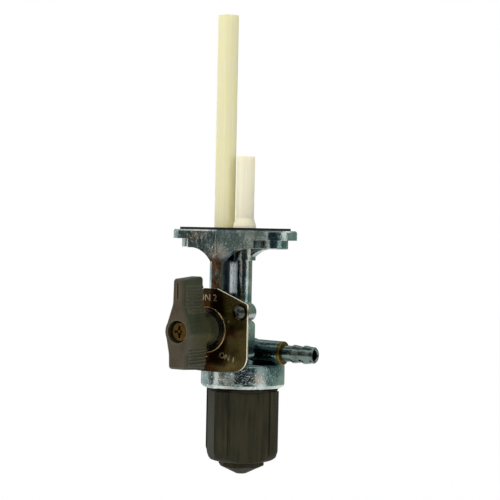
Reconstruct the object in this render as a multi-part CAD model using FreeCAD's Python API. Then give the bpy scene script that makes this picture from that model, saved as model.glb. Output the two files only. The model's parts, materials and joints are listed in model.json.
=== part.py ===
import FreeCAD, Part
import math
import os

# Fuel tap with a main and a reserve standpipe, a turning lever on a face plate, a barbed hose
# outlet and a screw-on sediment bowl. Millimetres. The origin is the middle of the tank gasket's
# top face, +Z goes up into the tank, +X follows the flange towards the hose outlet, and the
# lever faces -Y.

# Tank flange and its gasket
bolt_spacing = 34.0
bolt_hole_r = 3.2
gasket_thick = 0.9
gasket_inset = 2.4
gasket_window_clear = 1.6
flange_end_r = 9.0
flange_half_width = 12.5
flange_nose_r = 2.0
flange_thick = 3.5
flange_chamfer = 0.5
flange_lower_r = 0.4
boss_r = 5.75
boss_drop = 3.3
boss_shoulder = 2.4

# Gusset and rib below the front of the flange, and the web along it
gusset_wall = 5.0
gusset_reach = 11.3
gusset_drop = 5.0
rib_width = 4.0
rib_shift = -0.7
rib_front = 11.0
web_thick = 3.6
web_drop = 4.1
web_overlap = 1.0
hollow_share = 0.22

# Standpipes, their stub pipes and the two lobes of the column
main_x = -4.5
main_pipe_r = 3.87
main_pipe_bore_r = 2.6
main_pipe_top = 80.0
main_lobe_r = 5.3
main_passage_r = 1.9
reserve_x = 4.5
reserve_pipe_r = 3.45
reserve_pipe_bore_r = 2.2
reserve_pipe_top = 26.7
reserve_foot_r = 4.3
reserve_foot_height = 3.6
reserve_foot_rim = 1.7
reserve_lobe_r = 3.2
reserve_passage_r = 1.5
bridge_half = 2.24
socket_depth = 7.0
socket_wall = 0.95
stub_wall = 0.5
stub_above_flange = 9.0
stub_chamfer = 0.25
stub_below_socket = 3.0
press_gap = 0.02

# Valve chamber, behind the face plate on an axis that faces the front
valve_z = -37.6
plate_front = 17.8
plate_thick = 0.8
pad_thick = 4.75
chamber_r = 9.85
chamber_floor = 7.5
chamber_wall = 2.4
barrel_wall = 1.4
barrel_floor = 2.0
barrel_back = -0.5
barrel_taper = 3.4
port_pitch_r = 5.4
port_r = 1.7
port_angles = (45, 135, 225, 315)
stop_lug_angle = 24.0
stop_lug_height = 1.05
stop_lug_length = 1.9
stop_clear_angle = 1.5
lever_turn = 180.0

# Rotor, seal, ring and spring in the chamber
running_gap = 0.05
seal_thick = 2.4
seal_radial_gap = 0.2
rotor_disc_thick = 5.2
rotor_front_step = 2.1
rotor_groove_depth = 1.5
rotor_groove_width = 1.7
rotor_groove_back = 0.75
rotor_channel_depth = 1.6
neck_step = 2.35
neck_gap = 0.1
neck_proud = 0.8
spigot_side = 6.0
spigot_length = 5.0
spigot_chamfer = 0.4
thread_runout = 0.5
rotor_ring_r = 0.75
washer_thick = 0.4
washer_rim_gap = 0.45
washer_wave_count = 3

# Face plate and the housing pad behind it, measured from the valve axis
plate_right = 17.7
plate_left = -14.5
plate_top = 15.2
plate_peak_half = 2.8
plate_shoulder = 9.9
plate_side_foot = -14.1
plate_bottom = -15.3
plate_corner_r = 5.5
plate_top_corner_r = 0.9
plate_lip_width = 0.8
plate_lip_proud = 0.3
plate_lip_edge = 0.2
pad_inset = 0.7
pad_right = 18.0
pad_right_top = 4.0
pad_foot = -9.9
pad_corner_r = 2.0
pad_back_r = 0.6
lobe_r = 3.5
screw_dx = 13.1
screw_dz = 7.0
screw_shank_r = 1.2
screw_shank_gap = 0.05
screw_shank_length = 4.4
screw_head_r = 2.15
screw_head_height = 1.4
screw_slot_width = 0.6
screw_slot_depth = 0.6
screw_slot_turn = 25.0
screw_head_rim = 0.5
screw_head_gap = 0.1
dimple_r = 2.9
dimple_depth = 0.35

# Lever, measured from the valve axis and forward from the face plate's front
lever_hub_r = 6.0
lever_wing_back = 6.4
lever_wing_front = 18.5
lever_long_arm = 19.0
lever_long_tip = 4.2
lever_long_waist = 4.6
lever_long_waist_y = 10.0
lever_short_arm = 13.4
lever_short_tip = 7.2
lever_short_waist = 7.5
lever_short_waist_y = 8.2
lever_boss_r = 5.5
flank_share = 0.97
lever_draft = 3.5
lever_corner_r = 1.2
lever_waist_r = 5.0
lever_edge_r = 0.9
lever_socket_gap = 0.1
pointer_width = 0.9
pointer_length = 6.0
pointer_depth = 0.5
pointer_from_tip = 1.4
lever_back_r = 0.8
ridge_r = 0.5
ridge_pitch = 1.25
ridge_front_gap = 1.8
long_ridge_start = 7.2
long_ridge_end_gap = 3.0
short_ridge_start = 6.6
short_ridge_end_gap = 1.8
recess_r = 4.1
recess_depth = 3.6
lever_screw_r = 3.5
lever_screw_head = 2.1
lever_screw_shank_r = 1.95
lever_screw_length = 13.5
lever_screw_edge_r = 0.5
cross_width = 1.0
cross_reach = 2.2
cross_depth = 1.0
cross_pit_r = 1.2
cross_pit_depth = 1.7

# Neck, outlet boss and nipple
neck_x = 5.0
neck_outer_r = 6.0
neck_shoulder_r = 1.5
neck_foot_flare = 0.8
neck_foot_height = 1.0
outlet_drop = 8.4
outlet_boss_r = 4.4
outlet_boss_root_r = 4.7
outlet_boss_end = 21.8
outlet_passage_r = 1.6
supply_passage_r = 1.3
supply_offset = 3.8
collar_thick = 1.2
collar_r = 4.4
collar_chamfer = 0.3
nipple_tip = 36.2
nipple_r = 3.0
nipple_bore_r = 1.9
nipple_inside = 7.5
barb_r = 3.4
barb_length = 3.4
barb_pitch = 4.6
barb_from_tip = 1.2
barb_back = 0.3
barb_crest = 0.6
nipple_tip_chamfer = 0.35

# Bowl head, bowl, bowl ring and strainer
head_r = 15.7
head_drop = 4.2
head_height = 9.4
head_roof = 3.3
head_chamfer = 1.6
head_bore_r = 12.6
thread_gap = 0.08
bowl_corner_r = 14.5
bowl_flats = 23.6
bowl_panel_width = 15.8
flat_angles = (45, 135, 225, 315)
bowl_drop = 27.4
bowl_wall = 2.0
bowl_neck_wall = 2.4
bowl_floor = 2.8
bowl_inner_chamfer = 1.5
bowl_step = 1.0
bowl_edge_r = 4.5
bowl_shoulder_r = 13.4
bowl_shoulder_gap = 0.3
bowl_shoulder_height = 0.6
bowl_ring_r = 0.95
tip_across = 15.5
tip_height = 5.1
tip_slope = 26.0
tip_end_r = 2.0
tip_turn = 15.0
tip_sink = 0.8
tip_edge_r = 0.3
stub_r = 3.0
stub_length = 4.6
strainer_r = 7.6
strainer_lift = 6.5
strainer_post = 1.2
strainer_post_count = 4
strainer_rim_height = 2.0
strainer_rim_wall = 1.2
strainer_collar_wall = 1.1
gauze_thick = 0.25

# Places worked out from the sizes above
bolt_x = bolt_spacing / 2
flange_top = -gasket_thick
flange_bottom = flange_top - flange_thick
boss_bottom = flange_bottom - boss_drop
socket_bottom = flange_top - socket_depth - boss_drop
collar_bottom = socket_bottom - socket_wall
plate_back = plate_front - plate_thick
pad_back = plate_back - pad_thick
plate_mid = (plate_right + plate_left) / 2
seal_front = chamber_floor + seal_thick
rotor_back = seal_front + running_gap
disc_front = rotor_back + rotor_disc_thick
rotor_r = chamber_r - running_gap
neck_r = chamber_r - neck_step
neck_front = plate_front + neck_proud
spigot_front = neck_front + spigot_length
hub_back = neck_front
wing_back = plate_front + lever_wing_back
wing_front = plate_front + lever_wing_front
wing_slope = math.tan(math.radians(lever_draft))
recess_floor = wing_front - recess_depth
outlet_z = valve_z - outlet_drop
head_top = outlet_z - head_drop
head_bottom = head_top - head_height
roof_bottom = head_top - head_roof
ring_squeeze_z = roof_bottom - 2 * bowl_ring_r
bowl_neck_r = head_bore_r - thread_gap
bowl_top = ring_squeeze_z
shoulder_top = head_bottom - bowl_shoulder_gap
bowl_bottom = head_bottom - bowl_drop
strainer_bottom = bowl_bottom + strainer_lift
screw_places = [(plate_mid + screw_dx, screw_dz), (plate_mid - screw_dx, -screw_dz)]

UP = FreeCAD.Vector(0, 0, 1)
ACROSS = FreeCAD.Vector(1, 0, 0)


def vec(x, y, z=0.0):
    return FreeCAD.Vector(x, y, z)


def post(radius, bottom, top, x=0.0, y=0.0):
    """Upright round bar between two heights."""
    return Part.makeCylinder(radius, top - bottom, vec(x, y, bottom), UP)


def bar(radius, start, end, y=0.0, z=0.0):
    """Round bar along X."""
    return Part.makeCylinder(radius, end - start, vec(start, y, z), ACROSS)


def block(x0, x1, y0, y1, z0, z1):
    return Part.makeBox(x1 - x0, y1 - y0, z1 - z0, vec(x0, y0, z0))


def turned(profile, x=0.0, y=0.0):
    """Solid of revolution about an upright axis, from (radius, height) points."""
    points = [vec(radius, 0, height) for radius, height in profile]
    face = Part.Face(Part.makePolygon(points + points[:1]))
    solid = face.revolve(vec(0, 0), UP, 360)
    solid.translate(vec(x, y))
    return solid


def belt(circles):
    """Flat outline round (x, y, radius) circles named counter-clockwise, as a belt lies on pulleys."""
    edges = []
    spans = []
    for here, there in zip(circles, circles[1:] + circles[:1]):
        run = vec(there[0] - here[0], there[1] - here[1])
        lean = (here[2] - there[2]) / run.Length
        along = vec(run.x, run.y).normalize()
        outward = along * lean + vec(along.y, -along.x) * math.sqrt(1 - lean * lean)
        spans.append((vec(*here[:2]) + outward * here[2], vec(*there[:2]) + outward * there[2], outward))
    for index, (start, end, outward) in enumerate(spans):
        corner = circles[(index + 1) % len(circles)]
        next_start, _, next_outward = spans[(index + 1) % len(spans)]
        edges.append(Part.LineSegment(start, end).toShape())
        first_angle = math.atan2(outward.y, outward.x)
        half_sweep = (math.atan2(next_outward.y, next_outward.x) - first_angle) % (2 * math.pi) / 2
        middle_angle = first_angle + half_sweep
        middle = vec(*corner[:2]) + vec(math.cos(middle_angle), math.sin(middle_angle)) * corner[2]
        edges.append(Part.Arc(end, middle, next_start).toShape())
    return Part.Wire(edges)


def slab(outline, bottom, top):
    """Upright prism on a flat outline."""
    face = Part.Face(outline)
    face.translate(vec(0, 0, bottom))
    return face.extrude(vec(0, 0, top - bottom))


def facing_front(shape):
    """Turn a shape drawn in x, height and depth towards the viewer onto the valve axis."""
    placed = shape.copy()
    placed.rotate(vec(0, 0), ACROSS, 90)
    placed.translate(vec(0, 0, valve_z))
    return placed


def sector(inner, outer, start_angle, sweep, bottom, top):
    """Part of a ring between two angles."""
    points = [vec(inner, 0, bottom), vec(outer, 0, bottom), vec(outer, 0, top), vec(inner, 0, top)]
    solid = Part.Face(Part.makePolygon(points + points[:1])).revolve(vec(0, 0), UP, sweep)
    solid.rotate(vec(0, 0), UP, start_angle)
    return solid


def polar(radius, angle):
    return vec(radius * math.cos(math.radians(angle)), radius * math.sin(math.radians(angle)))


def curved_slot(pitch_r, half_width, start_angle, sweep, bottom, top):
    """Round-ended slot that follows a circle."""
    end_angle = start_angle + sweep
    middle = start_angle + sweep / 2
    inner = pitch_r - half_width
    outer = pitch_r + half_width
    start_tip = polar(pitch_r, start_angle) - polar(half_width, start_angle + 90)
    end_tip = polar(pitch_r, end_angle) + polar(half_width, end_angle + 90)
    outline = Part.Wire([
        Part.Arc(polar(outer, start_angle), polar(outer, middle), polar(outer, end_angle)).toShape(),
        Part.Arc(polar(outer, end_angle), end_tip, polar(inner, end_angle)).toShape(),
        Part.Arc(polar(inner, end_angle), polar(inner, middle), polar(inner, start_angle)).toShape(),
        Part.Arc(polar(inner, start_angle), start_tip, polar(outer, start_angle)).toShape(),
    ])
    return slab(outline, bottom, top)


def join(first, *others):
    return first.fuse(list(others)).removeSplitter()


def cut(shape, *tools):
    return shape.cut(list(tools))


def upright_edges_near(shape, places, reach):
    """Straight upright edges whose foot is within reach of any of the (x, y) places."""
    found = []
    for edge in shape.Edges:
        first, last = edge.Vertexes[0].Point, edge.Vertexes[-1].Point
        upright = abs(first.x - last.x) + abs(first.y - last.y) < 1e-6 and abs(first.z - last.z) > 1e-6
        if upright and any(math.hypot(first.x - x, first.y - y) < reach for x, y in places):
            found.append(edge)
    return found


# Tank flange and column

def flange_outline(end_r, shrink=0.0):
    nose_y = flange_half_width - flange_nose_r
    nose_r = flange_nose_r
    return belt([
        (-bolt_x, 0, end_r), (0, shrink - nose_y, nose_r), (bolt_x, 0, end_r), (0, nose_y - shrink, nose_r),
    ])


def flange_block():
    """Flange plate, and the lower layer that is flush with its long sides between the bolt bosses."""
    plate = slab(flange_outline(flange_end_r), flange_bottom, flange_top)
    rim = [edge for edge in plate.Edges if edge.BoundBox.ZMin > flange_top - 1e-6]
    plate = plate.makeChamfer(flange_chamfer, rim)
    middle = slab(flange_outline(flange_end_r), boss_bottom, flange_bottom)
    reach = bolt_x - boss_shoulder
    between = block(-reach, reach, -flange_half_width, flange_half_width, boss_bottom, flange_bottom)
    middle = middle.common(between)
    bosses = []
    for side in (-1, 1):
        boss = post(boss_r, boss_bottom, flange_bottom, side * bolt_x)
        rim = [edge for edge in boss.Edges if edge.BoundBox.ZMax < boss_bottom + 1e-6]
        bosses.append(boss.makeFillet(flange_lower_r, rim))
    return join(plate, middle, *bosses)


def hollow_curve(start, end, sag):
    """Arc between two points in the XZ plane that bows to one side by sag."""
    middle = (start + end) * 0.5
    run = end - start
    aside = vec(-run.z, 0, run.x).normalize()
    return Part.Arc(start, middle + aside * sag, end).toShape()


def trumpet(half_top, half_foot, shift, drop, depth_front, depth_back):
    """Plate under the flange that narrows downwards between two hollow curves."""
    top = boss_bottom
    foot = boss_bottom - drop
    corners = [
        vec(shift - half_top, 0, top), vec(shift - half_foot, 0, foot),
        vec(shift + half_foot, 0, foot), vec(shift + half_top, 0, top),
    ]
    sag = drop * hollow_share
    edges = [
        hollow_curve(corners[0], corners[1], sag),
        Part.LineSegment(corners[1], corners[2]).toShape(),
        hollow_curve(corners[2], corners[3], sag),
        Part.LineSegment(corners[3], corners[0]).toShape(),
    ]
    face = Part.Face(Part.Wire(edges))
    face.translate(vec(0, -depth_front, 0))
    return face.extrude(vec(0, depth_front - depth_back, 0))


def gusset():
    """Front gusset flush with the flange's nose, and the rib that runs down from it."""
    wall_back = flange_half_width - gusset_wall
    wall = trumpet(gusset_reach, rib_width / 2, rib_shift, gusset_drop, flange_half_width, wall_back)
    front = slab(flange_outline(flange_end_r), boss_bottom - gusset_drop, boss_bottom)
    wall = wall.common(front)
    half = rib_width / 2
    rib = block(rib_shift - half, rib_shift + half, -rib_front, 0, valve_z, boss_bottom)
    top_fill = block(rib_shift - half, rib_shift + half, -flange_half_width + flange_nose_r, 0,
                     boss_bottom - gusset_drop, boss_bottom)
    return join(wall, rib, top_fill)


def long_web():
    """Web along the flange on both sides of the column, with hollow lower edges."""
    reach = bolt_x - boss_shoulder + web_overlap
    foot = reserve_x + reserve_lobe_r
    return trumpet(reach, foot, 0, web_drop, web_thick / 2, -web_thick / 2)


def column():
    """Twin-lobe column with the thicker socket of the reserve pipe and the bridge between the lobes."""
    main = post(main_lobe_r, outlet_z, flange_bottom, main_x)
    main_end = Part.makeSphere(main_lobe_r, vec(main_x, 0, outlet_z))
    reserve = post(reserve_lobe_r, outlet_z, flange_bottom, reserve_x)
    socket = post(reserve_pipe_r + socket_wall, collar_bottom, flange_bottom, reserve_x)
    bridge = block(main_x, reserve_x, -bridge_half, bridge_half, outlet_z, flange_bottom)
    return join(main, main_end, reserve, socket, bridge)


# Valve housing

def plate_outline(inset=0.0):
    """Outline of the face plate: a low gable on top, upright sides and an arched foot."""
    top = plate_top - inset
    right = plate_right - inset
    left = plate_left + inset
    shoulder = plate_shoulder - inset
    foot = plate_side_foot
    points = [
        vec(left, foot), vec(right, foot), vec(right, shoulder),
        vec(plate_mid + plate_peak_half, top), vec(plate_mid - plate_peak_half, top), vec(left, shoulder),
    ]
    edges = [Part.Arc(points[0], vec(plate_mid, plate_bottom + inset), points[1]).toShape()]
    for start, end in zip(points[1:], points[2:] + points[:1]):
        edges.append(Part.LineSegment(start, end).toShape())
    return Part.Wire(edges)


def rounded_plate(inset, back, front):
    solid = slab(plate_outline(inset), back, front)
    lower = [(plate_right - inset, plate_side_foot), (plate_left + inset, plate_side_foot)]
    solid = solid.makeFillet(plate_corner_r, upright_edges_near(solid, lower, 0.01))
    upper = [edge for edge in upright_edges_near(solid, [(plate_mid, plate_top)], 2 * plate_right)
             if edge.BoundBox.YMin > 0]
    return solid.makeFillet(plate_top_corner_r, upper)


def pad_wing(start, end, top, outer):
    """Side of the pad, with rounded outer corners and rounded rear edges."""
    wing = block(start, end, pad_foot, top, pad_back, plate_back)
    wing = wing.makeFillet(pad_corner_r, upright_edges_near(wing, [(outer, top), (outer, pad_foot)], 0.01))
    rear = [edge for edge in wing.Edges if edge.BoundBox.ZMax < pad_back + 1e-6
            and abs(edge.BoundBox.Center.x) > abs(outer) / 3]
    return wing.makeFillet(pad_back_r, rear)


def housing():
    """Pad behind the face plate with its screw lobes, and the barrel of the valve chamber."""
    barrel = post(chamber_r + chamber_wall, pad_back, plate_back)
    rear_r = chamber_r + barrel_wall
    rear = turned([
        (0, barrel_back), (rear_r - barrel_taper, barrel_back), (rear_r, chamber_floor - barrel_floor),
        (rear_r, pad_back), (0, pad_back),
    ])
    lobes = [post(lobe_r, pad_back, plate_back, x, y) for x, y in screw_places]
    wing_right = pad_wing(0, pad_right, pad_right_top, pad_right)
    left = plate_left + pad_inset
    wing_left = pad_wing(left, 0, -pad_right_top, left)
    return facing_front(join(barrel, rear, wing_right, wing_left, *lobes))


def housing_cuts():
    """Valve chamber, screw holes and the four ports behind the seal."""
    chamber = post(chamber_r, chamber_floor, plate_back + 1)
    shank_r = screw_shank_r + screw_shank_gap
    holes = [post(shank_r, pad_back - 1, plate_back + 1, x, y) for x, y in screw_places]
    ports = []
    for angle in port_angles:
        place = polar(port_pitch_r, angle)
        ports.append(post(port_r, 0, chamber_floor + 1, place.x, place.y))
    return [facing_front(shape) for shape in [chamber] + holes + ports]


def stop_lug():
    """Lug on the chamber wall that ends the rotor's turn at both sides."""
    inner = chamber_r - stop_lug_height
    start = 270 - stop_lug_angle / 2
    lug = sector(inner, chamber_r + chamber_wall / 2, start, stop_lug_angle,
                 disc_front - stop_lug_length, disc_front)
    return facing_front(lug)


def bowl_head():
    """Ring that takes the bowl, with its roof and the outlet stub in the middle."""
    ring = post(head_r, head_bottom, head_top, neck_x)
    lower_rim = [edge for edge in ring.Edges if edge.BoundBox.ZMax < head_bottom + 1e-6]
    upper_rim = [edge for edge in ring.Edges if edge.BoundBox.ZMin > head_top - 1e-6
                 and edge.BoundBox.XLength > 1]
    ring = ring.makeFillet(head_chamfer, lower_rim + upper_rim)
    ring = cut(ring, post(head_bore_r, head_bottom - 1, roof_bottom, neck_x))
    stub = post(stub_r, roof_bottom - stub_length, roof_bottom, neck_x)
    return join(ring, stub)


def neck():
    """Neck with a rounded shoulder, its foot on the bowl head, and the outlet boss."""
    shoulder = outlet_z + outlet_boss_root_r
    pillar = post(neck_outer_r, head_top, shoulder, neck_x)
    rim = [edge for edge in pillar.Edges if edge.BoundBox.ZMin > shoulder - 1e-6
           and edge.BoundBox.XLength > 1]
    pillar = pillar.makeFillet(neck_shoulder_r, rim)
    boss = Part.makeCone(outlet_boss_root_r, outlet_boss_r, outlet_boss_end - neck_x,
                         vec(neck_x, 0, outlet_z), ACROSS)
    foot = post(neck_outer_r + neck_foot_flare, head_top, head_top + neck_foot_height, neck_x)
    return [pillar, boss, foot]


def passages():
    """Fuel ways: down both lobes, from the seal ports to the bowl, and from the bowl to the outlet."""
    port_dx = port_pitch_r * math.cos(math.radians(45))
    main_socket = post(main_pipe_r + press_gap, socket_bottom, 1, main_x)
    main_stub = post(main_pipe_bore_r + press_gap, socket_bottom - stub_below_socket, 1, main_x)
    main_way = post(main_passage_r, valve_z + port_dx, 1, main_x)
    reserve_socket = post(reserve_pipe_r + press_gap, socket_bottom, 1, reserve_x)
    reserve_stub = post(reserve_pipe_bore_r + press_gap, socket_bottom - stub_below_socket, 1, reserve_x)
    reserve_way = post(reserve_passage_r, valve_z + port_dx, 1, reserve_x)
    supply_x = neck_x - supply_offset
    cross = bar(supply_passage_r, -port_dx, port_dx, 0, valve_z - port_dx)
    supply = post(supply_passage_r, roof_bottom - 1, valve_z - port_dx, supply_x)
    rise = post(outlet_passage_r, roof_bottom - stub_length - 1, outlet_z, neck_x)
    way_out = bar(outlet_passage_r, neck_x, outlet_boss_end + 1, 0, outlet_z)
    seat_start = outlet_boss_end - nipple_inside
    nipple_seat = bar(nipple_r + press_gap, seat_start, outlet_boss_end + 1, 0, outlet_z)
    return [main_socket, main_stub, main_way, reserve_socket, reserve_stub, reserve_way,
            cross, supply, rise, way_out, nipple_seat]


def tap_body():
    body = join(flange_block(), gusset(), long_web(), column(), housing(), bowl_head(), *neck())
    bolt_holes = [post(bolt_hole_r, boss_bottom - 1, 1, side * bolt_x) for side in (-1, 1)]
    body = cut(body, *bolt_holes, *housing_cuts(), *passages())
    return join(body, stop_lug())


# Pieces on the flange

def tank_gasket():
    sheet = slab(flange_outline(flange_end_r - gasket_inset, gasket_inset), -gasket_thick, 0)
    holes = [post(bolt_hole_r, -gasket_thick - 1, 1, side * bolt_x) for side in (-1, 1)]
    window = belt([
        (main_x, 0, main_pipe_r + gasket_window_clear),
        (reserve_x, 0, reserve_foot_r + gasket_window_clear),
    ])
    return cut(sheet, slab(window, -gasket_thick - 1, 1), *holes)


def standpipe(x, radius, bore_r, top):
    return cut(post(radius, socket_bottom, top, x), post(bore_r, socket_bottom - 1, top + 1, x))


def reserve_standpipe():
    pipe = standpipe(reserve_x, reserve_pipe_r, reserve_pipe_bore_r, reserve_pipe_top)
    foot = turned([
        (reserve_pipe_bore_r, flange_top), (reserve_foot_r, flange_top),
        (reserve_foot_r, flange_top + reserve_foot_rim), (reserve_pipe_r, reserve_foot_height),
        (reserve_pipe_bore_r, reserve_foot_height),
    ], reserve_x)
    return join(pipe, foot)


def stub_pipe(x, bore_r):
    """Metal stub that stands in the casting and inside the foot of a standpipe."""
    outer = bore_r - press_gap
    bottom = socket_bottom - stub_below_socket
    top = flange_top + stub_above_flange
    stub = cut(post(outer, bottom, top, x), post(outer - stub_wall, bottom - 1, top + 1, x))
    rim = [edge for edge in stub.Edges if edge.BoundBox.ZMin > top - 1e-6
           and edge.BoundBox.XLength > 2 * outer - stub_wall]
    return stub.makeChamfer(stub_chamfer, rim)


# Pieces in the valve chamber, drawn on the valve axis

def valve_seal():
    disc = post(chamber_r - seal_radial_gap, chamber_floor, seal_front)
    for angle in port_angles:
        place = polar(port_pitch_r, angle)
        disc = cut(disc, post(port_r, chamber_floor - 1, seal_front + 1, place.x, place.y))
    return facing_front(disc)


def valve_rotor():
    """Disc with the port channel, ring groove and stop notch, the neck, and the square spigot."""
    groove_back = rotor_back + rotor_groove_back
    groove_front = groove_back + rotor_groove_width
    groove_r = rotor_r - rotor_groove_depth
    body = turned([
        (0, rotor_back), (rotor_r, rotor_back), (rotor_r, groove_back), (groove_r, groove_back),
        (groove_r, groove_front), (rotor_r, groove_front), (rotor_r, disc_front),
        (neck_r, disc_front), (neck_r, neck_front), (0, neck_front),
    ])
    half = spigot_side / 2
    spigot = block(-half, half, -half, half, neck_front, spigot_front)
    spigot = spigot.makeChamfer(spigot_chamfer, upright_edges_near(spigot, [(0, 0)], spigot_side))
    body = join(body, spigot)
    clear = stop_lug_angle / 2 + stop_clear_angle
    notch_floor = chamber_r - stop_lug_height - 2 * running_gap
    notch = sector(notch_floor, rotor_r + 1, 270 - lever_turn - clear, lever_turn + 2 * clear,
                   disc_front - rotor_front_step, disc_front + 0.01)
    channel = curved_slot(port_pitch_r, port_r, -45, 90, rotor_back - 1, rotor_back + rotor_channel_depth)
    hole_end = recess_floor - lever_screw_length - thread_runout
    thread_hole = post(lever_screw_shank_r + press_gap, hole_end, spigot_front + 1)
    return facing_front(cut(body, notch, channel, thread_hole))


def rotor_o_ring():
    middle_r = rotor_r - rotor_ring_r
    ring = Part.makeTorus(middle_r, rotor_ring_r)
    ring.translate(vec(0, 0, rotor_back + rotor_groove_back + rotor_groove_width / 2))
    return facing_front(ring)


def wave_washer():
    """Spring ring whose face rises and falls, between the rotor disc and the face plate."""
    inner = neck_r + 2 * neck_gap
    outer = chamber_r - washer_rim_gap
    space = plate_back - disc_front
    rise = (space - washer_thick) / 2 - running_gap
    middle = disc_front + (space - washer_thick) / 2
    steps = 12 * washer_wave_count
    rims = []
    for radius in (inner, outer):
        points = []
        for step in range(steps):
            angle = 2 * math.pi * step / steps
            height = middle + rise * math.sin(washer_wave_count * angle)
            points.append(vec(radius * math.cos(angle), radius * math.sin(angle), height))
        curve = Part.BSplineCurve()
        curve.interpolate(points, PeriodicFlag=True)
        rims.append(curve.toShape())
    band = Part.makeRuledSurface(rims[0], rims[1])
    return facing_front(band.extrude(vec(0, 0, washer_thick)))


def face_plate():
    """Thin plate with a raised lip round the rotor's neck and a pressed dimple round each screw."""
    plate = rounded_plate(0, plate_back, plate_front)
    window_r = neck_r + neck_gap
    lip = post(window_r + plate_lip_width, plate_back, plate_front + plate_lip_proud)
    rim = [edge for edge in lip.Edges if edge.BoundBox.ZMin > plate_front and edge.BoundBox.XLength > 1]
    plate = join(plate, lip.makeChamfer(plate_lip_edge, rim))
    window = post(window_r, plate_back - 1, plate_front + 1)
    shank_r = screw_shank_r + screw_shank_gap
    cuts = [window]
    for x, y in screw_places:
        cuts.append(post(shank_r, plate_back - 1, plate_front + 1, x, y))
        cuts.append(turned([
            (0, plate_front - dimple_depth), (screw_head_r + screw_head_gap, plate_front - dimple_depth),
            (dimple_r, plate_front), (dimple_r, plate_front + 1), (0, plate_front + 1),
        ], x, y))
    return facing_front(cut(plate, *cuts))


def plate_screw(place):
    """Round-head slotted screw, its head seated in the plate's dimple."""
    x, y = place
    seat = plate_front - dimple_depth
    top = seat + screw_head_height
    rim = seat + screw_head_rim
    rise = top - rim
    dome_r = (screw_head_r ** 2 + rise ** 2) / (2 * rise)
    half_x = screw_head_r * 0.5
    half_z = top - dome_r + math.sqrt(dome_r ** 2 - half_x ** 2)
    crown = [vec(screw_head_r, 0, rim), vec(half_x, 0, half_z), vec(0, 0, top)]
    edges = [
        Part.LineSegment(vec(0, 0, seat), vec(screw_head_r, 0, seat)).toShape(),
        Part.LineSegment(vec(screw_head_r, 0, seat), crown[0]).toShape(),
        Part.Arc(*crown).toShape(),
        Part.LineSegment(crown[2], vec(0, 0, seat)).toShape(),
    ]
    head = Part.Face(Part.Wire(edges)).revolve(vec(0, 0), UP, 360)
    shank = post(screw_shank_r, plate_back - screw_shank_length, seat)
    half = screw_slot_width / 2
    slot = block(-screw_head_r, screw_head_r, -half, half, top - screw_slot_depth, top + 1)
    slot.rotate(vec(0, 0), UP, screw_slot_turn)
    screw = cut(join(head, shank), slot)
    screw.translate(vec(x, y))
    return facing_front(screw)


# Lever

def tapered(outline_front, outline_back):
    """Loft between the outline at the lever's front and the wider one at its back."""
    outline_front.translate(vec(0, 0, wing_front))
    outline_back.translate(vec(0, 0, wing_back))
    return Part.makeLoft([outline_back, outline_front], True, True)


def flank_foot(hub_r, half, y):
    """Point just inside the hub's rim where the straight flank from an arm's waist ends."""
    reach = hub_r * flank_share
    angle = math.atan2(y, half) - math.acos(reach / math.hypot(half, y))
    return reach * math.cos(angle), reach * math.sin(angle)


def arm_outline(tip_half, waist_half, waist_y, length, direction, grow):
    """Arm with upright sides from tip to waist and flanks down to the hub, wider all round by grow."""
    foot_x, foot_y = flank_foot(lever_boss_r + grow, waist_half + grow, waist_y)
    side = [(foot_x, foot_y), (waist_half + grow, waist_y), (tip_half + grow, length + grow)]
    points = [vec(x, direction * y) for x, y in side]
    points += [vec(-x, direction * y) for x, y in reversed(side)]
    return Part.makePolygon(points + points[:1])


def lever_arm(tip_width, waist_width, waist_y, length, direction):
    draft = (wing_front - wing_back) * wing_slope
    outlines = []
    for grow in (0, draft):
        outlines.append(arm_outline(tip_width / 2, waist_width / 2, waist_y, length, direction, grow))
    return tapered(*outlines)


def leaning_edges(shape, test):
    """Edges that run from the back to the front of the lever's wings and pass the test."""
    found = []
    for edge in shape.Edges:
        box = edge.BoundBox
        if box.ZLength > 0.9 * (wing_front - wing_back) and test(box):
            found.append(edge)
    return found


def side_ridges(tip_width, waist_width, waist_y, length, direction, start, end_gap):
    """Half-round grip ridges across both sides of an arm, leaning with the draft."""
    draft = (wing_front - wing_back) * wing_slope
    slope = (tip_width - waist_width) / (length - waist_y) / 2
    flank_slope = (lever_boss_r - waist_width / 2) / waist_y
    ridges = []
    for index in range(int((length - end_gap - start) / ridge_pitch) + 1):
        y = start + index * ridge_pitch
        half = waist_width / 2 + max((y - waist_y) * slope, (waist_y - y) * flank_slope)
        for side in (-1, 1):
            foot = vec(side * (half + draft), direction * y, wing_back + lever_back_r)
            head = vec(side * half, direction * y, wing_front - ridge_front_gap)
            run = head - foot
            ridges.append(Part.makeCylinder(ridge_r, run.Length, foot, run))
    return ridges


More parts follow.
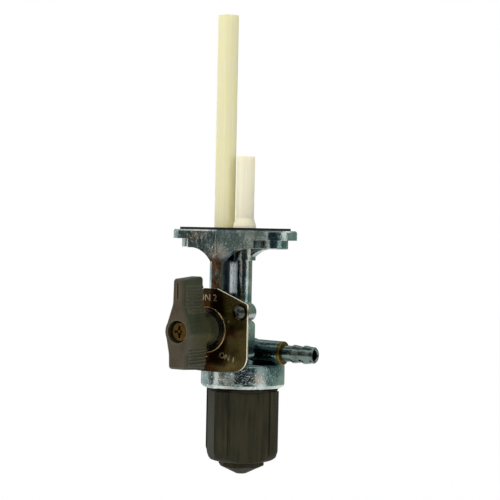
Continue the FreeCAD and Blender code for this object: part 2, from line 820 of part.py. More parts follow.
def lever():
    """Moulded lever: round hub, waisted long and short arms with grip ridges, recess and pointer."""
    long_sizes = (lever_long_tip, lever_long_waist, lever_long_waist_y, lever_long_arm, 1)
    short_sizes = (lever_short_tip, lever_short_waist, lever_short_waist_y, lever_short_arm, -1)
    draft = (wing_front - wing_back) * wing_slope
    boss = Part.makeCone(lever_boss_r + draft, lever_boss_r, wing_front - wing_back, vec(0, 0, wing_back))
    arms = []
    for sizes in (long_sizes, short_sizes):
        waist_y, length = sizes[2:4]
        arm = lever_arm(*sizes)
        waist = leaning_edges(arm, lambda box: abs(abs(box.Center.y) - waist_y) < ridge_r)
        arm = arm.makeFillet(lever_waist_r, waist)
        tip = leaning_edges(arm, lambda box: abs(box.Center.y) > length - ridge_r)
        arms.append(arm.makeFillet(lever_corner_r, tip))
    grip = join(boss, *arms)
    front = [edge for edge in grip.Edges if edge.BoundBox.ZMin > wing_front - 1e-4]
    grip = grip.makeFillet(lever_edge_r, front)
    back = [edge for edge in grip.Edges if edge.BoundBox.ZMax < wing_back + 1e-4
            and abs(edge.BoundBox.Center.y) > lever_boss_r + draft]
    grip = grip.makeFillet(lever_back_r, back)
    ridges = side_ridges(*long_sizes, long_ridge_start, long_ridge_end_gap)
    ridges += side_ridges(*short_sizes, short_ridge_start, short_ridge_end_gap)
    hub = post(lever_hub_r, hub_back, wing_back + 1)
    grip = join(grip, hub, *ridges)
    half = spigot_side / 2 + lever_socket_gap
    socket = block(-half, half, -half, half, hub_back - 1, spigot_front + lever_socket_gap)
    recess = post(recess_r, recess_floor, wing_front + 1)
    shank = post(lever_screw_shank_r + lever_socket_gap, hub_back, wing_front)
    pointer_top = lever_long_arm - pointer_from_tip
    pointer = block(-pointer_width / 2, pointer_width / 2, pointer_top - pointer_length, pointer_top,
                    wing_front - pointer_depth, wing_front + 1)
    return facing_front(cut(grip, socket, recess, shank, pointer))


def lever_screw():
    """Cheese-head screw with a cross recess, from the lever's recess into the rotor."""
    top = recess_floor + lever_screw_head
    head = post(lever_screw_r, recess_floor, top)
    rim = [edge for edge in head.Edges if edge.BoundBox.ZMin > top - 1e-6 and edge.BoundBox.XLength > 1]
    head = head.makeFillet(lever_screw_edge_r, rim)
    shank = post(lever_screw_shank_r, recess_floor - lever_screw_length, recess_floor)
    half = cross_width / 2
    arms = [
        block(-cross_reach, cross_reach, -half, half, top - cross_depth, top + 1),
        block(-half, half, -cross_reach, cross_reach, top - cross_depth, top + 1),
        turned([(0, top - cross_pit_depth), (cross_pit_r, top), (cross_pit_r, top + 1), (0, top + 1)]),
    ]
    return facing_front(cut(join(head, shank), *arms))


# Outlet

def outlet_collar():
    start = outlet_boss_end
    ring = bar(collar_r, start, start + collar_thick, 0, outlet_z)
    rim = [edge for edge in ring.Edges if edge.BoundBox.XMin > start + collar_thick - 1e-6]
    ring = ring.makeChamfer(collar_chamfer, rim)
    return cut(ring, bar(nipple_r + press_gap, start - 1, start + collar_thick + 1, 0, outlet_z))


def outlet_nipple():
    """Hose nipple turned from bar: plain root, two barbs with a sharp back edge, rounded tip."""
    start = outlet_boss_end - nipple_inside
    barb_ends = [nipple_tip - barb_from_tip - barb_pitch, nipple_tip - barb_from_tip]
    profile = [(nipple_bore_r, start), (nipple_r, start)]
    for end in barb_ends:
        crest = end - barb_length
        crest_front = crest + barb_back + barb_crest
        profile += [(nipple_r, crest), (barb_r, crest + barb_back), (barb_r, crest_front), (nipple_r, end)]
    profile += [
        (nipple_r, nipple_tip - nipple_tip_chamfer), (nipple_r - nipple_tip_chamfer, nipple_tip),
        (nipple_bore_r + nipple_tip_chamfer, nipple_tip), (nipple_bore_r, nipple_tip - nipple_tip_chamfer),
    ]
    solid = turned(profile)
    solid.rotate(vec(0, 0), vec(0, 1, 0), 90)
    solid.translate(vec(0, 0, outlet_z))
    return solid


# Bowl and strainer

def spanner_tip():
    """Six-sided tip under the bowl, its end turned to a blunt cone."""
    radius = tip_across / math.sqrt(3)
    end_z = bowl_bottom - tip_height
    corners = [polar(radius, tip_turn + 60 * corner) for corner in range(6)]
    prism = slab(Part.makePolygon(corners + corners[:1]), end_z, bowl_bottom + tip_sink)
    rise = (radius + 1 - tip_end_r) * math.tan(math.radians(tip_slope))
    cone = turned([
        (0, end_z), (tip_end_r, end_z), (radius + 1, end_z + rise), (radius + 1, bowl_bottom + tip_sink),
        (0, bowl_bottom + tip_sink),
    ])
    tip = prism.common(cone)
    upright = upright_edges_near(tip, [(0, 0)], 2 * radius)
    return tip.makeFillet(tip_edge_r, upright)


def bowl():
    """Sediment bowl: threaded neck, round shoulder, four sunk spanner flats and a six-sided tip."""
    body_top = shoulder_top - bowl_shoulder_height
    outside = post(bowl_corner_r, bowl_bottom, body_top)
    foot_rim = [edge for edge in outside.Edges if edge.BoundBox.ZMax < bowl_bottom + 1e-6]
    outside = outside.makeFillet(bowl_edge_r, foot_rim)
    flats = []
    half = bowl_panel_width / 2
    for turn in flat_angles:
        slice_off = block(bowl_flats / 2, bowl_corner_r + 1, -half, half, bowl_bottom - 1, body_top + 1)
        slice_off.rotate(vec(0, 0), UP, turn)
        flats.append(slice_off)
    outside = cut(outside, *flats)
    shoulder = post(bowl_shoulder_r, body_top, shoulder_top)
    tip = spanner_tip()
    thread_neck = post(bowl_neck_r, shoulder_top - bowl_step, bowl_top)
    outside = join(outside, shoulder, tip, thread_neck)
    inner_r = bowl_flats / 2 - bowl_wall
    mouth_r = bowl_neck_r - bowl_neck_wall
    floor_z = bowl_bottom + bowl_floor
    hollow = turned([
        (0, floor_z), (inner_r - bowl_inner_chamfer, floor_z), (inner_r, floor_z + bowl_inner_chamfer),
        (inner_r, shoulder_top - 2 * bowl_step), (mouth_r, shoulder_top - bowl_step),
        (mouth_r, bowl_top + 1), (0, bowl_top + 1),
    ])
    solid = cut(outside, hollow)
    solid.translate(vec(neck_x, 0))
    return solid


def bowl_o_ring():
    ring = Part.makeTorus(bowl_neck_r - bowl_neck_wall / 2, bowl_ring_r - press_gap / 2)
    ring.translate(vec(neck_x, 0, roof_bottom - bowl_ring_r))
    return ring


def strainer_frame():
    """Moulded cage: collar on the outlet stub, roof, posts and a closed foot."""
    top = roof_bottom - 2 * press_gap
    collar_r_out = stub_r + press_gap + strainer_collar_wall
    roof = post(strainer_r, top - strainer_rim_height, top)
    collar = post(collar_r_out, top - stub_length - 1, top)
    foot = post(strainer_r, strainer_bottom, strainer_bottom + strainer_rim_height)
    posts = []
    inner = strainer_r - strainer_rim_wall - gauze_thick
    for index in range(strainer_post_count):
        half = math.degrees(strainer_post / strainer_r) / 2
        start = 360 / strainer_post_count * index - half
        posts.append(sector(inner, strainer_r, start, 2 * half, strainer_bottom, top))
    frame = join(roof, collar, foot, *posts)
    stub_hole = post(stub_r + press_gap, top - stub_length - 2, top + 1)
    frame = cut(frame, stub_hole)
    frame.translate(vec(neck_x, 0))
    return frame


def strainer_gauze():
    """Gauze sleeve inside the cage posts."""
    outer = strainer_r - strainer_rim_wall - gauze_thick - press_gap
    bottom = strainer_bottom + strainer_rim_height
    top = roof_bottom - 2 * press_gap - strainer_rim_height
    sleeve = cut(post(outer, bottom, top), post(outer - gauze_thick, bottom - 1, top + 1))
    sleeve.translate(vec(neck_x, 0))
    return sleeve


nodes = {
    "tap_body": tap_body(),
    "tank_gasket": tank_gasket(),
    "main_standpipe": standpipe(main_x, main_pipe_r, main_pipe_bore_r, main_pipe_top),
    "reserve_standpipe": reserve_standpipe(),
    "main_spigot": stub_pipe(main_x, main_pipe_bore_r),
    "reserve_spigot": stub_pipe(reserve_x, reserve_pipe_bore_r),
    "valve_seal": valve_seal(),
    "valve_rotor": valve_rotor(),
    "rotor_o_ring": rotor_o_ring(),
    "wave_washer": wave_washer(),
    "face_plate": face_plate(),
    "plate_screw_upper": plate_screw(screw_places[0]),
    "plate_screw_lower": plate_screw(screw_places[1]),
    "lever": lever(),
    "lever_screw": lever_screw(),
    "outlet_collar": outlet_collar(),
    "outlet_nipple": outlet_nipple(),
    "bowl": bowl(),
    "bowl_o_ring": bowl_o_ring(),
    "strainer_frame": strainer_frame(),
    "strainer_gauze": strainer_gauze(),
}

os.makedirs("parts", exist_ok=True)
for name, shape in nodes.items():
    shape.exportStep("parts/" + name + ".step")
    print(name, "solids", len(shape.Solids), "valid", shape.isValid(), "volume", round(shape.Volume, 2))
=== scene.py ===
import json
import math

import bpy
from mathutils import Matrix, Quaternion, Vector


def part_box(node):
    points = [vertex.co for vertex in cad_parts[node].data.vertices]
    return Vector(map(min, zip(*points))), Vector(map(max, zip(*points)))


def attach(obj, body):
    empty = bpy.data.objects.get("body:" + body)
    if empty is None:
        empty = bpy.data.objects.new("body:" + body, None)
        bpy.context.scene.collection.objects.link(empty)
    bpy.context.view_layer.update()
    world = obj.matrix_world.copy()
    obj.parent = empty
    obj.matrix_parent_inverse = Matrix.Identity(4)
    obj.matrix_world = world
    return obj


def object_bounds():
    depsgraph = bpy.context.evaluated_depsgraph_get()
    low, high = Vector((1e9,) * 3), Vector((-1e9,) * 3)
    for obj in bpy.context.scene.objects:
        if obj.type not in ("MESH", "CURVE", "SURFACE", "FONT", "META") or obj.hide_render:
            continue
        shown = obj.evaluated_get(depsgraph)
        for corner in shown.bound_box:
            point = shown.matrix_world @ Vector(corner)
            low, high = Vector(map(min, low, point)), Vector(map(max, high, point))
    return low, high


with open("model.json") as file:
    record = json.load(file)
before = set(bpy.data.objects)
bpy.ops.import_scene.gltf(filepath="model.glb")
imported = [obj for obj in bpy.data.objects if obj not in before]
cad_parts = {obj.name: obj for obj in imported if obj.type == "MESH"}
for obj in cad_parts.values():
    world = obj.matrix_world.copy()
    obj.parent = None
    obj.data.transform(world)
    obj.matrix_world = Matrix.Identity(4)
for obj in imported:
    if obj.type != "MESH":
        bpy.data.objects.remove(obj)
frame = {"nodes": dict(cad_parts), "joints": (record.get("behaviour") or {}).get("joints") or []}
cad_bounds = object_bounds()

# Millimetres in metres
MM = 0.001

# Camera: it stands level with the flange, 33 degrees to the right of the lever's side
CAMERA_AZIMUTH = 33.0
CAMERA_DISTANCE = 551 * MM
CAMERA_FIELD = 19.42
CAMERA_ROLL = 1.15
CAMERA_CLIP = 10 * MM
AIM_RIGHT = 6.0 * MM
AIM_DOWN = 8.3 * MM

# Marks on the face plate, from the valve axis: words, place across and up, letter size, tilt in degrees
VALVE_PLACE = frame["joints"][0]["pos_m"]
PLATE_LIP = 0.3 * MM
MARK_RISE = 0.14 * MM
MARK_SINK = 0.03 * MM
MARKS = {
    "mark_reserve": ("ON 2", (0.4 * MM, 11.7 * MM), 3.5 * MM, 0.0),
    "mark_main": ("ON 1", (9.4 * MM, -9.7 * MM), 3.0 * MM, -14.0),
    "mark_off": ("OFF", (-11.0 * MM, 1.0 * MM), 2.6 * MM, 0.0),
    "mark_tick": ("-", (9.6 * MM, 3.6 * MM), 3.4 * MM, 60.0),
    "mark_dash": ("-", (0.4 * MM, -9.6 * MM), 3.4 * MM, 0.0),
}

# Stains, darkening, painted shade and a painted highlight on the casting, as spans along X, Y and Z in
# millimetres, and how softly they end
# Darker and bluer round the outlet boss
OUTLET_DARKENING = (("X", 11, 40), ("Z", -50, -41))
RIB_STAIN = (("X", -3.0, 1.4), ("Y", -20, -10.5), ("Z", -40, -12))
# Painted shade: the side of the rib painted darker and bluer
RIB_SIDE_SHADE = (("X", 0.6, 2.2), ("Y", -8.5, -2.5), ("Z", -40, -11))
# Painted highlight: a pale, less metallic streak down the column
HIGHLIGHT_STREAK = (("X", 0.9, 2.4), ("Y", -3.9, -1.5), ("Z", -24, -13.5))
STAIN_FADE = 2 * MM
HIGHLIGHT_FADE = 1.2 * MM

# Face plate: where a painted sheen turns it gold, right of the valve axis, and the painted shade in the
# dimples round its screws
SHEEN_STARTS = 3 * MM
SHEEN_FULL = 10 * MM
DIMPLE_SHADE = 3.6 * MM
DIMPLE_SHADE_FADE = 0.72 * MM

# Colours, as linear red, green and blue
WHITE = (1.0, 1.0, 1.0)
FLOOR_COLOUR = (0.86, 0.86, 0.85)
ROOF_COLOUR = (0.22, 0.27, 0.28)

# Studio: a floor well below the hanging tap, and plain ambient light
FLOOR_DROP = 110 * MM
FLOOR_RADIUS = 3.0
FLOOR_ROUGHNESS = 0.8
FLOOR_WHITE_SHARE = 0.995
AMBIENT = 0.5

# Lamps: place, aim, width and height, power in watts
LAMPS = {
    "key": ((-0.28, -0.45, 0.60), (0, 0, -0.02), (0.35, 0.35), 4.0),
    "fill": ((0.60, -0.15, 0.15), (0, 0, -0.03), (0.25, 0.5), 1.2),
}

# Ring of grey cards and a roof that only reflections show: start and end in degrees, colour
CARD_RADIUS = 0.75
CARD_FOOT = -0.22
CARD_TOP = 0.60
CARD_STEPS = 24
ROOF_RADIUS = 0.34
ROOF_STEPS = 48
CARDS = {
    "card_left": (-125, -72, (0.72, 0.80, 0.82)),
    "card_front_left": (-72, -50, (0.10, 0.10, 0.088)),
    "card_glint": (-50, -38, (0.95, 0.95, 0.95)),
    "card_front": (-38, -13, (0.12, 0.12, 0.105)),
    "card_glint_edge": (-13, -10, (0.98, 0.96, 0.86)),
    "card_front_right": (-10, -2, (0.06, 0.07, 0.065)),
    "card_glint_right": (-2, 8, (0.62, 0.65, 0.67)),
    "card_camera": (8, 50, (0.016, 0.028, 0.038)),
    "card_right": (50, 69, (0.05, 0.085, 0.09)),
    "card_far_right": (69, 100, (0.90, 0.95, 0.96)),
    "card_back_right": (100, 122, (0.16, 0.24, 0.23)),
    "card_back": (122, 235, (0.24, 0.33, 0.29)),
}


def put_camera():
    """Camera at the viewing angle, aimed beside the flange's centre and rolled a little."""
    turn = math.radians(CAMERA_AZIMUTH)
    back = Vector((math.sin(turn), -math.cos(turn), 0))
    right = Vector((math.cos(turn), math.sin(turn), 0))
    place = back * CAMERA_DISTANCE
    aim = right * AIM_RIGHT - Vector((0, 0, AIM_DOWN))
    data = bpy.data.cameras.new("camera")
    data.sensor_fit = "HORIZONTAL"
    data.angle = math.radians(CAMERA_FIELD)
    data.clip_start = CAMERA_CLIP
    camera = bpy.data.objects.new("camera", data)
    bpy.context.collection.objects.link(camera)
    camera.location = place
    camera.rotation_mode = "QUATERNION"
    look = (aim - place).to_track_quat("-Z", "Y")
    camera.rotation_quaternion = look @ Quaternion((0, 0, 1), math.radians(CAMERA_ROLL))
    bpy.context.scene.camera = camera


class Finish:
    """Builder of one node material around a Principled shader, with sizes in metres.

    The plain colour and values are what a simple viewer shows. Nodes linked later take their place.
    """

    # Cosine between the true and the softened surface: on an open face, and on an edge
    OPEN_FACE = 0.97
    SHARP_EDGE = 0.80

    def __init__(self, name, colour, **sockets):
        self.material, nodes, self.links = new_material(name)
        self.nodes = nodes
        self.surface = nodes["Principled BSDF"]
        coords = self.node("ShaderNodeTexCoord")
        self.place = coords.outputs["Object"]
        self.normal = coords.outputs["Normal"]
        self.surface.inputs["Base Color"].default_value = (*colour, 1)
        for socket, value in sockets.items():
            self.surface.inputs[socket.replace("_", " ")].default_value = value

    def node(self, kind, **settings):
        made = self.nodes.new(kind)
        for key, value in settings.items():
            setattr(made, key, value)
        return made

    def link(self, source, target):
        self.links.new(source, target)

    def colour(self, output):
        self.link(output, self.surface.inputs["Base Color"])

    def rough(self, output):
        self.link(output, self.surface.inputs["Roughness"])

    def metal(self, output):
        self.link(output, self.surface.inputs["Metallic"])

    def bump(self, *layers):
        """Bumps laid over each other, each an output and a height in metres."""
        before = None
        for height, distance in layers:
            step = self.node("ShaderNodeBump")
            step.inputs["Strength"].default_value = 1.0
            step.inputs["Distance"].default_value = distance
            self.link(height, step.inputs["Height"])
            if before is not None:
                self.link(before, step.inputs["Normal"])
            before = step.outputs["Normal"]
        self.link(before, self.surface.inputs["Normal"])

    def noise(self, size, detail=3.0, rough=0.5, stretch=(1, 1, 1), shift=(0, 0, 0)):
        """Noise with features of about size, drawn out along an axis where stretch is small."""
        mapping = self.node("ShaderNodeMapping")
        mapping.inputs["Scale"].default_value = stretch
        mapping.inputs["Location"].default_value = shift
        self.link(self.place, mapping.inputs["Vector"])
        texture = self.node("ShaderNodeTexNoise")
        texture.inputs["Scale"].default_value = 1 / size
        texture.inputs["Detail"].default_value = detail
        texture.inputs["Roughness"].default_value = rough
        self.link(mapping.outputs["Vector"], texture.inputs["Vector"])
        return texture.outputs["Fac"]

    def ramp(self, factor, low, high, start=0.0, end=1.0):
        """Value that goes from start to end as factor goes from low to high."""
        spread = self.node("ShaderNodeMapRange", clamp=True)
        self.link(factor, spread.inputs["Value"])
        for socket, value in (("From Min", low), ("From Max", high), ("To Min", start), ("To Max", end)):
            spread.inputs[socket].default_value = value
        return spread.outputs["Result"]

    def maths(self, operation, *values):
        """Result of a sum, each value a number or an output."""
        step = self.node("ShaderNodeMath", operation=operation)
        for socket, value in zip(step.inputs, values):
            if isinstance(value, (int, float)):
                socket.default_value = value
            else:
                self.link(value, socket)
        return step.outputs["Value"]

    def blend(self, factor, first, second):
        """Mix of two colours, each a colour or an output."""
        mix = self.node("ShaderNodeMix", data_type="RGBA")
        self.link(factor, mix.inputs["Factor"])
        for socket, value in ((mix.inputs["A"], first), (mix.inputs["B"], second)):
            if isinstance(value, tuple):
                socket.default_value = (*value, 1)
            else:
                self.link(value, socket)
        return mix.outputs["Result"]

    def part_of(self, vector, axis):
        split = self.node("ShaderNodeSeparateXYZ")
        self.link(vector, split.inputs["Vector"])
        return split.outputs[axis]

    def facing(self, axis):
        """1 where the surface faces along the axis, either way, and 0 where it runs beside it."""
        return self.maths("ABSOLUTE", self.part_of(self.normal, axis))

    def inside(self, *spans, fade=STAIN_FADE):
        """1 inside the spans, each an axis with its ends in millimetres, and 0 outside, with soft ends."""
        share = None
        for axis, low, high in spans:
            value = self.part_of(self.place, axis)
            for end, away in ((low * MM, -fade), (high * MM, fade)):
                edge = self.ramp(value, end + away, end)
                share = edge if share is None else self.maths("MULTIPLY", share, edge)
        return share

    def near(self, centre, reach, fade):
        """1 round a point, falling to 0 over the last part of its reach."""
        gap = self.node("ShaderNodeVectorMath", operation="DISTANCE")
        self.link(self.place, gap.inputs[0])
        gap.inputs[1].default_value = centre
        return self.ramp(gap.outputs["Value"], reach, reach - fade)

    def edges(self, radius):
        """1 on convex and concave edges within radius, 0 on open faces."""
        soft = self.node("ShaderNodeBevel", samples=4)
        soft.inputs["Radius"].default_value = radius
        geometry = self.node("ShaderNodeNewGeometry")
        dot = self.node("ShaderNodeVectorMath", operation="DOT_PRODUCT")
        self.link(soft.outputs["Normal"], dot.inputs[0])
        self.link(geometry.outputs["Normal"], dot.inputs[1])
        return self.ramp(dot.outputs["Value"], self.OPEN_FACE, self.SHARP_EDGE)


def new_material(name):
    """New node material, with its nodes and links."""
    material = bpy.data.materials.new(name)
    material.use_nodes = True
    return material, material.node_tree.nodes, material.node_tree.links


def shade(colour, factor):
    """Colour made darker or paler by a factor."""
    return tuple(part * factor for part in colour)


def rubbed(colour, power):
    """Metal's colour where it is rubbed bright, the paler the smaller the power."""
    return tuple(part ** power for part in colour)


def plate_front():
    """Place along Y of the plate's flat face, behind its raised lip."""
    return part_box("face_plate")[0][1] + PLATE_LIP


def casting():
    """Bright-plated die casting: smooth metal with a fine orange-peel skin, stains, edges painted paler as
    wear and painted highlight, darker round the outlet, painted shade on the rib's side and a painted
    highlight streak.
    """
    grey, silver = (0.19, 0.27, 0.26), (0.60, 0.66, 0.62)
    tint, speckle, edge_wear_and_highlight = (0.44, 0.39, 0.33), (0.86, 0.88, 0.85), (0.86, 0.88, 0.84)
    rust, outlet_dark, side_shade = (0.17, 0.095, 0.06), (0.13, 0.19, 0.20), (0.105, 0.15, 0.165)
    streak_highlight = (0.88, 0.91, 0.94)

    look = Finish("casting", (0.60, 0.64, 0.62), Metallic=1.0, Roughness=0.14)
    cloud = look.noise(8 * MM, detail=4)
    warm = look.noise(7 * MM, detail=3, shift=(3, 1, 2))
    speck = look.noise(0.7 * MM, detail=5, rough=0.65)
    base = look.blend(look.ramp(cloud, 0.40, 0.60), grey, silver)
    base = look.blend(look.ramp(warm, 0.55, 0.74), base, tint)
    base = look.blend(look.ramp(speck, 0.56, 0.68), base, speckle)
    # Edges painted paler: rubbed wear and painted highlight
    base = look.blend(look.edges(0.3 * MM), base, edge_wear_and_highlight)

    stain = look.maths("MULTIPLY", look.inside(*RIB_STAIN), look.ramp(cloud, 0.20, 0.45))
    base = look.blend(stain, base, rust)
    # Darker and bluer round the outlet boss
    base = look.blend(look.inside(*OUTLET_DARKENING), base, outlet_dark)
    # Painted shade on the side of the rib
    base = look.blend(look.inside(*RIB_SIDE_SHADE), base, side_shade)
    # Painted highlight: a pale, less metallic streak down the column, in patches
    patchy = look.ramp(look.noise(1.0 * MM, detail=4), 0.30, 0.42)
    streak = look.maths("MULTIPLY", look.inside(*HIGHLIGHT_STREAK, fade=HIGHLIGHT_FADE), patchy)
    base = look.blend(streak, base, streak_highlight)
    look.colour(base)
    look.metal(look.ramp(streak, 0.0, 1.0, start=1.0, end=0.15))
    look.rough(look.ramp(speck, 0.35, 0.65, start=0.07, end=0.22))

    peel = look.noise(1.2 * MM, detail=3)
    wave = look.noise(4 * MM, detail=1, shift=(2, 5, 1))
    look.bump((wave, 0.16 * MM), (peel, 0.09 * MM), (speck, 0.04 * MM))
    return look.material


def black_rubber(name):
    """Matt black rubber with a fine grain."""
    look = Finish(name, (0.012, 0.012, 0.013), Roughness=0.6)
    grain = look.noise(0.5 * MM, detail=4)
    look.rough(look.ramp(grain, 0.3, 0.7, start=0.5, end=0.75))
    look.bump((grain, 0.02 * MM))
    return look.material


def cream_nylon(name, colour):
    """Cream nylon: milky and a little see-through, with faint drawn streaks and yellowed clouds."""
    red, green, blue = colour
    yellowed = (red, green * 0.99, blue * 0.90)

    look = Finish(name, colour, Roughness=0.42, Subsurface_Weight=0.25, Subsurface_Scale=4 * MM)
    look.surface.inputs["Subsurface Radius"].default_value = (1.0, 0.85, 0.5)
    streak = look.noise(0.8 * MM, detail=3, stretch=(1, 1, 0.02))
    cloud = look.noise(14 * MM, detail=3)
    base = look.blend(look.ramp(streak, 0.35, 0.7), shade(colour, 0.93), shade(colour, 1.04))
    base = look.blend(look.ramp(cloud, 0.45, 0.7), base, yellowed)
    look.colour(base)
    look.bump((streak, 0.02 * MM))
    return look.material


def brass(name, colour, rough=0.28):
    """Brass with darker clouds, rubbed edges painted paler, which also stand in for an edge highlight, and a
    fine scratchy skin.
    """
    look = Finish(name, colour, Metallic=1.0, Roughness=rough)
    cloud = look.noise(2.5 * MM, detail=4)
    base = look.blend(look.ramp(cloud, 0.4, 0.7), colour, shade(colour, 0.55))
    # Edges painted paler: rubbed wear and painted highlight
    base = look.blend(look.edges(0.15 * MM), base, rubbed(colour, 0.5))
    look.colour(base)
    scratch = look.noise(0.3 * MM, detail=3)
    look.bump((scratch, 0.01 * MM))
    return look.material


def plain_steel(name, colour, rough=0.3):
    """Steel with darker and rougher clouds and bright rubbed edges."""
    look = Finish(name, colour, Metallic=1.0, Roughness=rough)
    cloud = look.noise(1.8 * MM, detail=4)
    base = look.blend(look.ramp(cloud, 0.4, 0.7), colour, shade(colour, 0.6))
    base = look.blend(look.edges(0.12 * MM), base, rubbed(colour, 0.3))
    look.colour(base)
    look.rough(look.ramp(cloud, 0.3, 0.7, start=rough * 0.7, end=rough * 1.3))
    look.bump((look.noise(0.4 * MM, detail=3), 0.012 * MM))
    return look.material


def face_plate():
    """Polished plate with a bronze passivated skin, a painted sheen turning it gold towards its right, its
    edge faces painted pale and non-metallic as bare metal and a painted highlight, and painted shade round
    its screws.
    """
    brown, bronze = (0.095, 0.050, 0.020), (0.24, 0.135, 0.050)
    golden_sheen, reddish, painted_shade = (0.42, 0.32, 0.12), (0.15, 0.060, 0.025), (0.05, 0.038, 0.022)
    cut_edge_highlight, edge_wear_and_highlight = (0.88, 0.80, 0.58), (0.45, 0.36, 0.20)

    look = Finish("face_plate", (0.20, 0.13, 0.05), Metallic=1.0, Roughness=0.16)
    cloud = look.noise(8 * MM, detail=3)
    warm = look.noise(6 * MM, detail=2, shift=(1, 2, 3))
    side = look.maths("SUBTRACT", look.part_of(look.place, "X"), VALVE_PLACE[0])
    base = look.blend(look.ramp(cloud, 0.35, 0.65), brown, bronze)
    # Painted sheen: paler gold towards the right of the valve axis
    base = look.blend(look.ramp(side, SHEEN_STARTS, SHEEN_FULL), base, golden_sheen)
    base = look.blend(look.ramp(warm, 0.48, 0.70), base, reddish)

    # Faces that don't face along Y painted pale and less metallic: bare edge and painted highlight line
    facing = look.facing("Y")
    base = look.blend(look.ramp(facing, 0.55, 0.30), base, cut_edge_highlight)
    # Edges painted paler: rubbed wear and painted highlight
    base = look.blend(look.edges(0.15 * MM), base, edge_wear_and_highlight)
    # Painted shade in the dimples round the screws
    for screw in ("plate_screw_upper", "plate_screw_lower"):
        lowest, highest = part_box(screw)
        centre = [(low + high) / 2 for low, high in zip(lowest, highest)]
        centre[1] = plate_front()
        base = look.blend(look.near(centre, DIMPLE_SHADE, DIMPLE_SHADE_FADE), base, painted_shade)
    look.colour(base)
    look.metal(look.ramp(facing, 0.30, 0.55))
    look.rough(look.ramp(cloud, 0.3, 0.7, start=0.08, end=0.20))
    look.bump((look.noise(4 * MM, detail=2), 0.05 * MM))
    return look.material


def lever_plastic():
    """Dark moulded plastic, painted lighter and warmer on its front and darker and greener on its flanks as
    painted light and shade, and paler on its edges as rubbed wear and painted highlight.
    """
    shaded_side_dark, shaded_side_pale = (0.027, 0.029, 0.0135), (0.039, 0.041, 0.019)
    lit_front_dark, lit_front_pale = (0.058, 0.044, 0.0255), (0.077, 0.058, 0.034)
    edge_wear_and_highlight = (0.16, 0.145, 0.10)

    look = Finish("lever_plastic", (0.040, 0.036, 0.021), Roughness=0.30)
    cloud = look.noise(7 * MM, detail=4)
    grain = look.noise(0.35 * MM, detail=4)
    patches = look.ramp(cloud, 0.35, 0.7)
    shaded_sides = look.blend(patches, shaded_side_dark, shaded_side_pale)
    front = look.blend(patches, lit_front_dark, lit_front_pale)
    # Painted light: the front painted lighter than the flanks, which stand in shade
    base = look.blend(look.ramp(look.facing("Y"), 0.6, 0.9), shaded_sides, front)
    # Edges painted paler: rubbed wear and painted highlight
    base = look.blend(look.edges(0.6 * MM), base, edge_wear_and_highlight)
    look.colour(base)
    look.rough(look.ramp(cloud, 0.3, 0.7, start=0.22, end=0.36))
    look.bump((grain, 0.015 * MM))
    return look.material


def bowl_plastic():
    """Dark brown-grey moulded plastic: matt skin, faint upright flow marks and painted shade along its edges
    and creases.
    """
    dark, pale = (0.026, 0.0245, 0.0135), (0.036, 0.034, 0.0195)
    warm_flow, dark_flow = (0.046, 0.038, 0.0225), (0.021, 0.0205, 0.012)
    painted_shade = (0.006, 0.005, 0.003)

    look = Finish("bowl_plastic", (0.024, 0.0215, 0.013), Roughness=0.6, Specular_IOR_Level=0.08)
    cloud = look.noise(9 * MM, detail=3)
    flow = look.noise(1.5 * MM, detail=3, stretch=(1, 1, 0.08))
    base = look.blend(look.ramp(cloud, 0.35, 0.7), dark, pale)
    base = look.blend(look.ramp(flow, 0.48, 0.70), base, warm_flow)
    base = look.blend(look.ramp(flow, 0.46, 0.32), base, dark_flow)
    # Painted shade along the edges and creases
    base = look.blend(look.edges(0.4 * MM), base, painted_shade)
    look.colour(base)
    look.rough(look.ramp(flow, 0.3, 0.7, start=0.54, end=0.68))
    look.bump((flow, 0.02 * MM), (look.noise(0.4 * MM, detail=3), 0.012 * MM))
    return look.material


def dress():
    """Give every CAD node its material."""
    rubber = black_rubber("seal_rubber")
    stub = brass("stub_brass", (0.50, 0.38, 0.15))
    strainer = cream_nylon("strainer_nylon", (0.80, 0.76, 0.60))
    screw = plain_steel("screw_steel", (0.13, 0.14, 0.12), 0.34)
    finishes = {
        "tap_body": casting(),
        "tank_gasket": black_rubber("gasket_rubber"),
        "main_standpipe": cream_nylon("main_nylon", (0.86, 0.80, 0.50)),
        "reserve_standpipe": cream_nylon("reserve_nylon", (0.95, 0.88, 0.66)),
        "main_spigot": stub,
        "reserve_spigot": stub,
        "valve_seal": rubber,
        "rotor_o_ring": rubber,
        "bowl_o_ring": rubber,
        "valve_rotor": plain_steel("rotor_metal", (0.12, 0.12, 0.11)),
        "wave_washer": plain_steel("washer_steel", (0.50, 0.53, 0.52)),
        "face_plate": face_plate(),
        "plate_screw_upper": screw,
        "plate_screw_lower": screw,
        "lever": lever_plastic(),
        "lever_screw": brass("screw_brass", (0.22, 0.125, 0.03)),
        "outlet_collar": brass("collar_brass", (0.16, 0.11, 0.02), 0.32),
        "outlet_nipple": plain_steel("nipple_metal", (0.17, 0.22, 0.20), 0.16),
        "bowl": bowl_plastic(),
        "strainer_frame": strainer,
        "strainer_gauze": strainer,
    }
    for node, material in finishes.items():
        mesh = frame["nodes"][node].data
        mesh.materials.clear()
        mesh.materials.append(material)


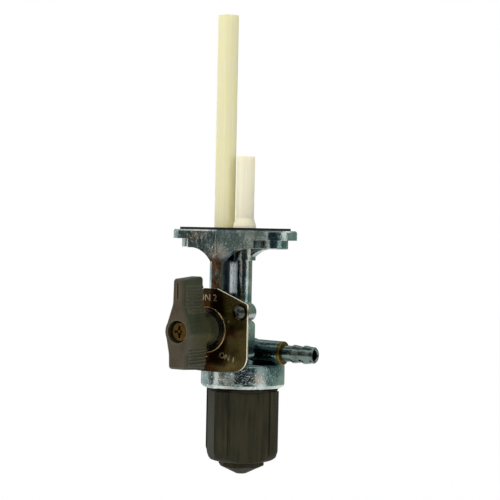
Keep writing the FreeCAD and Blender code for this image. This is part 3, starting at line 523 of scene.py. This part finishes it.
def put_marks():
    """Raised letters on the face plate, in a paler metal."""
    metal = brass("mark_metal", (0.85, 0.70, 0.46), 0.35)
    across, up = VALVE_PLACE[0], VALVE_PLACE[2]
    middle = plate_front() - (MARK_RISE - MARK_SINK) / 2
    for name, (words, (x, z), size, tilt) in MARKS.items():
        curve = bpy.data.curves.new(name, "FONT")
        curve.body = words
        curve.size = size
        curve.extrude = (MARK_RISE + MARK_SINK) / 2
        curve.align_x = "CENTER"
        curve.align_y = "CENTER"
        drawn = bpy.data.objects.new(name + "_outline", curve)
        mark = bpy.data.objects.new(name, bpy.data.meshes.new_from_object(drawn))
        bpy.data.objects.remove(drawn)
        mark.data.materials.clear()
        mark.data.materials.append(metal)
        bpy.context.collection.objects.link(mark)
        mark.location = (across + x, middle, up + z)
        mark.rotation_euler = (math.radians(90), -math.radians(tilt), 0)
        bpy.context.view_layer.update()
        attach(mark, "tap")


def put_lamp(name, place, aim, size, power):
    """Soft oblong lamp that doesn't show in reflections."""
    data = bpy.data.lights.new(name, "AREA")
    data.shape = "RECTANGLE"
    data.size, data.size_y = size
    data.energy = power
    lamp = bpy.data.objects.new(name, data)
    bpy.context.collection.objects.link(lamp)
    lamp.location = place
    lamp.visible_glossy = False
    lamp.rotation_euler = (Vector(aim) - Vector(place)).to_track_quat("-Z", "Y").to_euler()


def background_share(nodes, links):
    """1 for rays that should see the plain background: from the eye, in metal and in glass."""
    path = nodes.new("ShaderNodeLightPath")
    share = path.outputs["Is Camera Ray"]
    for ray in ("Is Glossy Ray", "Is Transmission Ray"):
        either = nodes.new("ShaderNodeMath")
        either.operation = "MAXIMUM"
        links.new(share, either.inputs[0])
        links.new(path.outputs[ray], either.inputs[1])
        share = either.outputs["Value"]
    return share


def mix_shaders(nodes, links, share, first, second):
    mix = nodes.new("ShaderNodeMixShader")
    for socket, source in zip(mix.inputs, (share, first, second)):
        links.new(source, socket)
    return mix.outputs["Shader"]


def put_world():
    """Plain ambient light on the object, and a white background to the eye and in reflections."""
    world = bpy.data.worlds.new("studio")
    bpy.context.scene.world = world
    world.use_nodes = True
    nodes, links = world.node_tree.nodes, world.node_tree.links
    nodes.clear()
    output = nodes.new("ShaderNodeOutputWorld")
    ambient = nodes.new("ShaderNodeBackground")
    ambient.inputs["Strength"].default_value = AMBIENT
    seen = nodes.new("ShaderNodeBackground")
    for background in (ambient, seen):
        background.inputs["Color"].default_value = (*WHITE, 1)
    share = background_share(nodes, links)
    mix = mix_shaders(nodes, links, share, ambient.outputs["Background"], seen.outputs["Background"])
    links.new(mix, output.inputs["Surface"])


def put_mesh(name, points, faces, material):
    mesh = bpy.data.meshes.new(name)
    mesh.from_pydata(points, [], faces)
    mesh.materials.append(material)
    piece = bpy.data.objects.new(name, mesh)
    bpy.context.collection.objects.link(piece)
    return piece


def put_floor(level):
    """Plain pale floor, which looks white to the eye and keeps a faint shadow."""
    material, nodes, links = new_material("floor")
    surface = nodes["Principled BSDF"]
    surface.inputs["Base Color"].default_value = (*FLOOR_COLOUR, 1)
    surface.inputs["Roughness"].default_value = FLOOR_ROUGHNESS
    glow = nodes.new("ShaderNodeEmission")
    share = nodes.new("ShaderNodeMath")
    share.operation = "MULTIPLY"
    share.inputs[1].default_value = FLOOR_WHITE_SHARE
    links.new(background_share(nodes, links), share.inputs[0])
    mix = mix_shaders(nodes, links, share.outputs["Value"], surface.outputs["BSDF"], glow.outputs["Emission"])
    links.new(mix, nodes["Material Output"].inputs["Surface"])
    points = [(FLOOR_RADIUS * x, FLOOR_RADIUS * y, level) for x, y in ((-1, -1), (1, -1), (1, 1), (-1, 1))]
    put_mesh("floor", points, [(0, 1, 2, 3)], material)


def glowing(name, colour):
    """Material that shines evenly in one colour."""
    material, nodes, links = new_material(name)
    nodes.clear()
    glow = nodes.new("ShaderNodeEmission")
    glow.inputs["Color"].default_value = (*colour, 1)
    output = nodes.new("ShaderNodeOutputMaterial")
    links.new(glow.outputs["Emission"], output.inputs["Surface"])
    return material


def show_in_reflections(card):
    """Make a card that only reflections show, and that throws no light or shade."""
    card.visible_camera = False
    card.visible_diffuse = False
    card.visible_transmission = False
    card.visible_shadow = False


def put_card(name, start, end, colour):
    """Curved card between two azimuths."""
    points, faces = [], []
    for step in range(CARD_STEPS + 1):
        turn = math.radians(start + (end - start) * step / CARD_STEPS)
        x, y = CARD_RADIUS * math.sin(turn), -CARD_RADIUS * math.cos(turn)
        points += [(x, y, CARD_FOOT), (x, y, CARD_TOP)]
    for corner in range(0, 2 * CARD_STEPS, 2):
        faces.append((corner, corner + 2, corner + 3, corner + 1))
    show_in_reflections(put_mesh(name, points, faces, glowing(name, colour)))


def put_roof():
    """Round grey card above the cards."""
    turns = [math.tau * step / ROOF_STEPS for step in range(ROOF_STEPS)]
    points = [(ROOF_RADIUS * math.cos(turn), ROOF_RADIUS * math.sin(turn), CARD_TOP) for turn in turns]
    show_in_reflections(put_mesh("roof", points, [list(range(ROOF_STEPS))], glowing("roof", ROOF_COLOUR)))


put_camera()
put_world()
put_floor(cad_bounds[0][2] - FLOOR_DROP)
for card_name, card in CARDS.items():
    put_card(card_name, *card)
put_roof()
for lamp_name, lamp in LAMPS.items():
    put_lamp(lamp_name, *lamp)
dress()
put_marks()
bpy.context.scene.view_settings.view_transform = "Standard"
